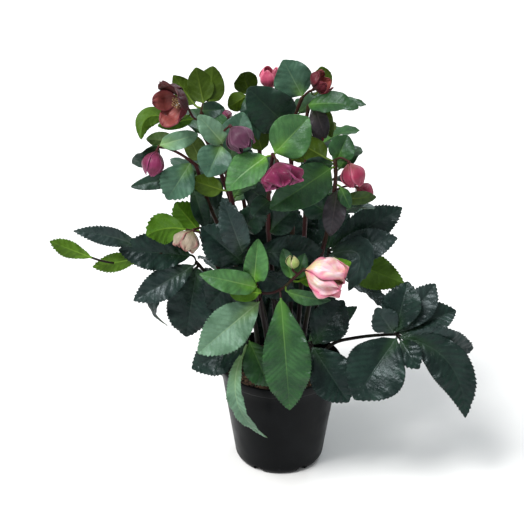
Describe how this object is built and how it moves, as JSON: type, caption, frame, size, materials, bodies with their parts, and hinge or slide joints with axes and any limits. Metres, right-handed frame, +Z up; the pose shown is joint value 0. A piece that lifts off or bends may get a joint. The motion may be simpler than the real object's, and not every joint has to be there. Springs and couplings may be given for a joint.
{
  "type": "hellebore in a nursery pot",
  "caption": "Winter-flowering perennial in a round nursery pot: leafy stems with nodding cup blooms and buds over saw-edged hand-shaped leaves.",
  "frame": {"origin": "middle of the pot's flat underside, on the surface it stands on", "axes": "+Z up along the pot's axis; -Y towards the side the picture was taken from; +X to the picture's right"},
  "size_m": [0.4765, 0.3131, 0.5003],
  "materials": {
    "pot": "thin black blow-moulded plastic with a slight sheen",
    "soil": "dark peat potting mix with bark chips",
    "stem_far_left": "leathery grey-green bracts, olive beneath, on reddish-brown stems",
    "stem_left": "leathery grey-green bracts, olive beneath, on reddish-brown stems",
    "stem_purple_bud": "leathery grey-green bracts, olive beneath, on reddish-brown stems",
    "stem_back_middle": "leathery grey-green bracts, olive beneath, on reddish-brown stems",
    "stem_round_leaf": "leathery grey-green bracts, olive beneath, on reddish-brown stems",
    "stem_long_pair": "leathery grey-green bracts, olive beneath, on reddish-brown stems",
    "stem_magenta_bloom": "leathery grey-green bracts, olive beneath, on reddish-brown stems",
    "stem_right": "leathery grey-green bracts, olive beneath, on reddish-brown stems",
    "stem_front": "leathery grey-green bracts, olive beneath, on reddish-brown stems",
    "stem_low_left": "leathery grey-green bracts, olive beneath, on reddish-brown stems",
    "stem_back_left": "leathery grey-green bracts, olive beneath, on reddish-brown stems",
    "stem_back_right": "leathery grey-green bracts, olive beneath, on reddish-brown stems",
    "leaf_right": "leathery dark blue-green saw-edged leaflets, olive beneath",
    "leaf_upper_right": "leathery dark blue-green saw-edged leaflets, olive beneath",
    "leaf_left": "leathery dark blue-green saw-edged leaflets, olive beneath",
    "leaf_front_left": "leathery dark blue-green saw-edged leaflets, olive beneath",
    "leaf_front_right": "leathery dark blue-green saw-edged leaflets, olive beneath",
    "leaf_middle": "leathery dark blue-green saw-edged leaflets, olive beneath",
    "leaf_inner": "leathery dark blue-green saw-edged leaflets, olive beneath",
    "leaf_back_left": "leathery dark blue-green saw-edged leaflets, olive beneath",
    "leaf_back_middle": "leathery dark blue-green saw-edged leaflets, olive beneath",
    "leaf_back_right": "leathery dark blue-green saw-edged leaflets, olive beneath",
    "bloom_open_burgundy": "soft satin petals",
    "bud_magenta": "soft satin petals",
    "bud_purple": "soft satin petals",
    "bloom_pink": "soft satin petals",
    "cup_burgundy": "soft satin petals",
    "bloom_magenta": "soft satin petals",
    "bud_pinkish": "soft satin petals",
    "bud_red": "soft satin petals",
    "bud_pale": "soft satin petals",
    "bud_green": "soft satin petals",
    "bloom_cream": "soft satin petals",
    "bud_back_left": "soft satin petals",
    "bud_back_right": "soft satin petals"
  },
  "bodies": {
    "root": {"pot": "pot", "soil": "soil", "stem_far_left": "stem_far_left", "stem_left": "stem_left", "stem_purple_bud": "stem_purple_bud", "stem_back_middle": "stem_back_middle", "stem_round_leaf": "stem_round_leaf", "stem_long_pair": "stem_long_pair", "stem_magenta_bloom": "stem_magenta_bloom", "stem_right": "stem_right", "stem_front": "stem_front", "stem_low_left": "stem_low_left", "stem_back_left": "stem_back_left", "stem_back_right": "stem_back_right", "leaf_right": "leaf_right", "leaf_upper_right": "leaf_upper_right", "leaf_left": "leaf_left", "leaf_front_left": "leaf_front_left", "leaf_front_right": "leaf_front_right", "leaf_middle": "leaf_middle", "leaf_inner": "leaf_inner", "leaf_back_left": "leaf_back_left", "leaf_back_middle": "leaf_back_middle", "leaf_back_right": "leaf_back_right", "bloom_open_burgundy": "bloom_open_burgundy", "bud_magenta": "bud_magenta", "bud_purple": "bud_purple", "bloom_pink": "bloom_pink", "cup_burgundy": "cup_burgundy", "bloom_magenta": "bloom_magenta", "bud_pinkish": "bud_pinkish", "bud_red": "bud_red", "bud_pale": "bud_pale", "bud_green": "bud_green", "bloom_cream": "bloom_cream", "bud_back_left": "bud_back_left", "bud_back_right": "bud_back_right"}
  },
  "joints": []
}
